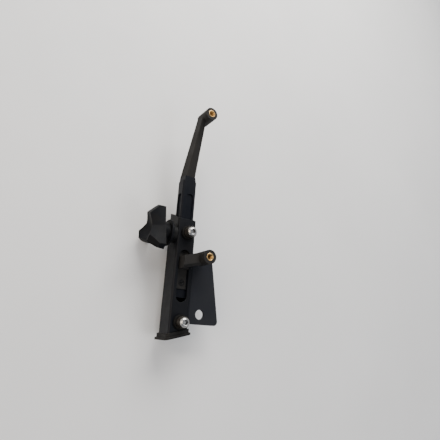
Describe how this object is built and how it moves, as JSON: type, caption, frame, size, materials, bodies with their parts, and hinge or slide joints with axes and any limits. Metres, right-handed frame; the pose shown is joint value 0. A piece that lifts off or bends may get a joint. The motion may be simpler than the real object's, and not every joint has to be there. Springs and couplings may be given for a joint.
{
  "type": "roof bracket",
  "caption": "Telescoping support bracket: slotted tube with side mounting plate and rubber foot, knob-clamped slider carrying threaded arm bosses.",
  "frame": {"origin": "centre of the mounting plate's hole, at the plate's rear face", "axes": "+Z out of the tube's slotted front face, +Y along the tube towards the upper arm, +X from the tube towards the plate"},
  "size_m": [0.095, 0.2634, 0.0617],
  "materials": {
    "tube_anodised": "matte black anodised",
    "slider_anodised": "satin black anodised",
    "arm_cast": "fine cast, matte black coat",
    "plate_coat": "matte black powder coat",
    "foot_rubber": "matte moulded rubber",
    "washer_rubber": "matte rubber",
    "collar_plastic": "dark nylon",
    "stainless": "turned stainless steel",
    "black_steel": "black oxide",
    "plain_steel": "zinc plated",
    "brass": "turned brass",
    "glide_plastic": "dark acetal",
    "knob_plastic": "fine moulded, matte"
  },
  "bodies": {
    "frame": {"outer_tube": "tube_anodised", "end_cap": "foot_rubber", "mounting_plate": "plate_coat", "plate_screw_lower": "stainless", "plate_screw_upper": "stainless", "top_washer": "washer_rubber", "top_collar": "collar_plastic", "top_screw": "stainless", "top_nut": "plain_steel", "bottom_washer": "washer_rubber", "bottom_collar": "collar_plastic", "bottom_screw": "stainless", "bottom_nut": "plain_steel", "glide_block": "glide_plastic", "glide_screw": "black_steel", "clamp_boss": "black_steel"},
    "slider": {"slider_bar": "slider_anodised", "upper_arm": "arm_cast", "mid_arm": "arm_cast", "mid_screw_lower": "black_steel", "mid_screw_upper": "black_steel", "upper_insert": "brass", "mid_insert": "brass"},
    "clamp": {"clamp_pad": "brass"},
    "knob": {"clamp_knob": "knob_plastic", "knob_stud": "plain_steel", "knob_hub": "knob_plastic"}
  },
  "joints": [
    {"name": "slider_slide", "type": "slide", "parent": "frame", "child": "slider", "axis": [0, 1, 0], "range_m": [-0.0205, 0]},
    {"name": "clamp_travel", "type": "slide", "parent": "frame", "child": "clamp", "axis": [-1, 0, 0], "range_m": [0, 0.0019]},
    {"name": "knob_turn", "type": "hinge", "parent": "clamp", "child": "knob", "pos_m": [-0.0563, 0.0845, -0.0024], "axis": [-1, 0, 0], "range_deg": [0, 540]}
  ],
  "couplings": [
    {"joint": "clamp_travel", "follows": "knob_turn", "m_per_rad": 0.00019894}
  ]
}
